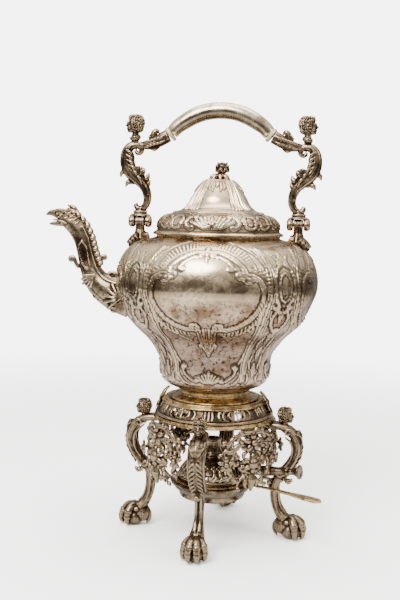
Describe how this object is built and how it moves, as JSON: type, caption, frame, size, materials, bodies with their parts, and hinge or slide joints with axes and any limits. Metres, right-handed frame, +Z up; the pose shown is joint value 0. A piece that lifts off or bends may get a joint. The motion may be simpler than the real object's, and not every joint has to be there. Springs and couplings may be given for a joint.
{
  "type": "tea kettle on burner stand",
  "caption": "Tea kettle with curved spout, lift-off lid and overhead swing handle, resting on a pierced scroll-legged stand over a spirit burner with side handle and swivelling lever.",
  "frame": {"origin": "centre of the bounding box's bottom face, on the plane the four feet stand on; the kettle's own axis is at x = +33.5 mm", "axes": "+Z up; the spout points to -X; the front of the kettle, and of the stand, faces -Y"},
  "size_m": [0.2897, 0.203, 0.4359],
  "materials": {
    "bright_silver": "polished silver with light warm tarnish",
    "dark_cast_silver": "cast and chased silver with dark tarnish in the recesses",
    "worn_gilt_silver": "gold-toned worn silver-gilt",
    "ivory_ring": "smooth ivory-coloured insulator",
    "cotton_wick": "braided cotton"
  },
  "bodies": {
    "stand": {"gallery_ring": "bright_silver", "gallery_base": "worn_gilt_silver", "burner_bowl": "dark_cast_silver", "leg_right": "dark_cast_silver", "leg_back": "dark_cast_silver", "leg_left": "dark_cast_silver", "leg_front": "dark_cast_silver", "leg_bust_right": "dark_cast_silver", "leg_bust_back": "dark_cast_silver", "leg_bust_left": "dark_cast_silver", "leg_bust_front": "dark_cast_silver", "bowl_bracket_right": "dark_cast_silver", "bowl_bracket_back": "dark_cast_silver", "bowl_bracket_left": "dark_cast_silver", "bowl_bracket_front": "dark_cast_silver", "apron_back_right": "dark_cast_silver", "apron_back_left": "dark_cast_silver", "apron_front_left": "dark_cast_silver", "apron_front_right": "dark_cast_silver", "scroll_bracket_right": "bright_silver", "scroll_bracket_left": "bright_silver"},
    "kettle": {"kettle_body": "bright_silver", "kettle_foot": "worn_gilt_silver", "mouth_ring": "bright_silver", "spout": "bright_silver", "spout_head": "dark_cast_silver", "socket_left": "bright_silver", "socket_right": "bright_silver", "hinge_pin_left": "dark_cast_silver", "hinge_pin_right": "dark_cast_silver"},
    "handle": {"handle_arm_left": "dark_cast_silver", "handle_arm_right": "dark_cast_silver", "arm_bust_left": "dark_cast_silver", "arm_bust_right": "dark_cast_silver", "ferrule_left": "bright_silver", "ferrule_right": "bright_silver", "insulator_left": "ivory_ring", "insulator_right": "ivory_ring", "grip": "bright_silver"},
    "lid": {"lid_dome": "bright_silver", "lid_bezel": "bright_silver", "finial_calyx": "bright_silver", "finial_bud": "bright_silver", "finial_stud": "bright_silver", "finial_nut": "bright_silver"},
    "burner": {"lamp_reservoir": "dark_cast_silver", "wick_tube": "bright_silver", "wick": "cotton_wick", "lamp_handle": "dark_cast_silver", "lamp_knob": "dark_cast_silver"},
    "regulator": {"regulator": "worn_gilt_silver"}
  },
  "joints": [
    {"name": "kettle_lift", "type": "slide", "parent": "stand", "child": "kettle", "axis": [0, 0, 1], "range_m": [0, 0.06]},
    {"name": "lid_lift", "type": "slide", "parent": "kettle", "child": "lid", "axis": [0, 0, 1], "range_m": [0, 0.04]},
    {"name": "handle_swing", "type": "hinge", "parent": "kettle", "child": "handle", "pos_m": [0.03346, 0, 0.3172], "axis": [1, 0, 0], "range_deg": [-80, 80]},
    {"name": "burner_lift", "type": "slide", "parent": "stand", "child": "burner", "axis": [0, 0, 1], "range_m": [0, 0.004]},
    {"name": "regulator_swing", "type": "hinge", "parent": "burner", "child": "regulator", "pos_m": [0.03346, 0, 0.0567], "axis": [0, 0, 1], "range_deg": [-45, 8]}
  ]
}
